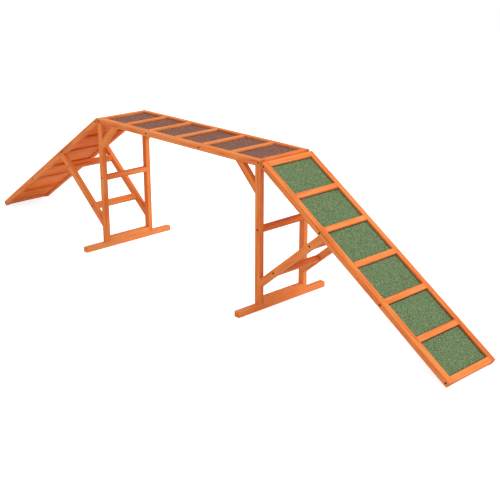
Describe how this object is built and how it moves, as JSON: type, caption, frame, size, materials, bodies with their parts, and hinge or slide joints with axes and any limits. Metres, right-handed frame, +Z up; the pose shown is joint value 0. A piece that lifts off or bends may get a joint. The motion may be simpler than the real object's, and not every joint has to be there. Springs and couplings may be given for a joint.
{
  "type": "dog agility ramp",
  "caption": "Free-standing wooden dog walk: a level platform on two braced stands with a sloping, slatted, grit-covered ramp at each end.",
  "frame": {"origin": "on the ground, below the middle of the platform (bottom centre of the bounding box)", "axes": "+X along the walk, +Y across it, +Z up"},
  "size_m": [3.2236, 0.546, 0.682],
  "materials": {
    "rail_timber": "softwood with a translucent orange-brown stain, satin",
    "slat_timber": "softwood with a translucent orange-brown stain, satin",
    "stand_timber": "softwood with a translucent orange-brown stain, satin",
    "green_grit_panel": "stained board faced with green mineral grit felt",
    "mauve_grit_panel": "stained board faced with mauve-brown mineral grit felt"
  },
  "bodies": {
    "root": {"left_ramp_panel_1": "green_grit_panel", "left_ramp_panel_2": "green_grit_panel", "left_ramp_panel_3": "green_grit_panel", "left_ramp_rail_far": "rail_timber", "left_ramp_rail_near": "rail_timber", "left_ramp_slat_1": "slat_timber", "left_ramp_slat_2": "slat_timber", "left_ramp_slat_3": "slat_timber", "left_ramp_slat_4": "slat_timber", "left_ramp_slat_5": "slat_timber", "left_ramp_slat_6": "slat_timber", "left_ramp_slat_7": "slat_timber", "left_stand_brace_far": "stand_timber", "left_stand_brace_near": "stand_timber", "left_stand_foot": "stand_timber", "left_stand_mid_rail": "stand_timber", "left_stand_post_far": "stand_timber", "left_stand_post_near": "stand_timber", "left_stand_stretcher": "stand_timber", "left_strut_far": "stand_timber", "left_strut_near": "stand_timber", "left_strut_rail_lower": "stand_timber", "left_strut_rail_upper": "stand_timber", "platform_panel_1": "mauve_grit_panel", "platform_panel_2": "mauve_grit_panel", "platform_panel_3": "mauve_grit_panel", "platform_rail_far": "rail_timber", "platform_rail_near": "rail_timber", "platform_slat_1": "slat_timber", "platform_slat_2": "slat_timber", "platform_slat_3": "slat_timber", "platform_slat_4": "slat_timber", "platform_slat_5": "slat_timber", "platform_slat_6": "slat_timber", "platform_slat_7": "slat_timber", "right_ramp_panel_1": "green_grit_panel", "right_ramp_panel_2": "green_grit_panel", "right_ramp_panel_3": "green_grit_panel", "right_ramp_rail_far": "rail_timber", "right_ramp_rail_near": "rail_timber", "right_ramp_slat_1": "slat_timber", "right_ramp_slat_2": "slat_timber", "right_ramp_slat_3": "slat_timber", "right_ramp_slat_4": "slat_timber", "right_ramp_slat_5": "slat_timber", "right_ramp_slat_6": "slat_timber", "right_ramp_slat_7": "slat_timber", "right_stand_brace_far": "stand_timber", "right_stand_brace_near": "stand_timber", "right_stand_foot": "stand_timber", "right_stand_mid_rail": "stand_timber", "right_stand_post_far": "stand_timber", "right_stand_post_near": "stand_timber", "right_stand_stretcher": "stand_timber", "right_strut_far": "stand_timber", "right_strut_near": "stand_timber", "right_strut_rail_lower": "stand_timber", "right_strut_rail_upper": "stand_timber"}
  },
  "joints": []
}
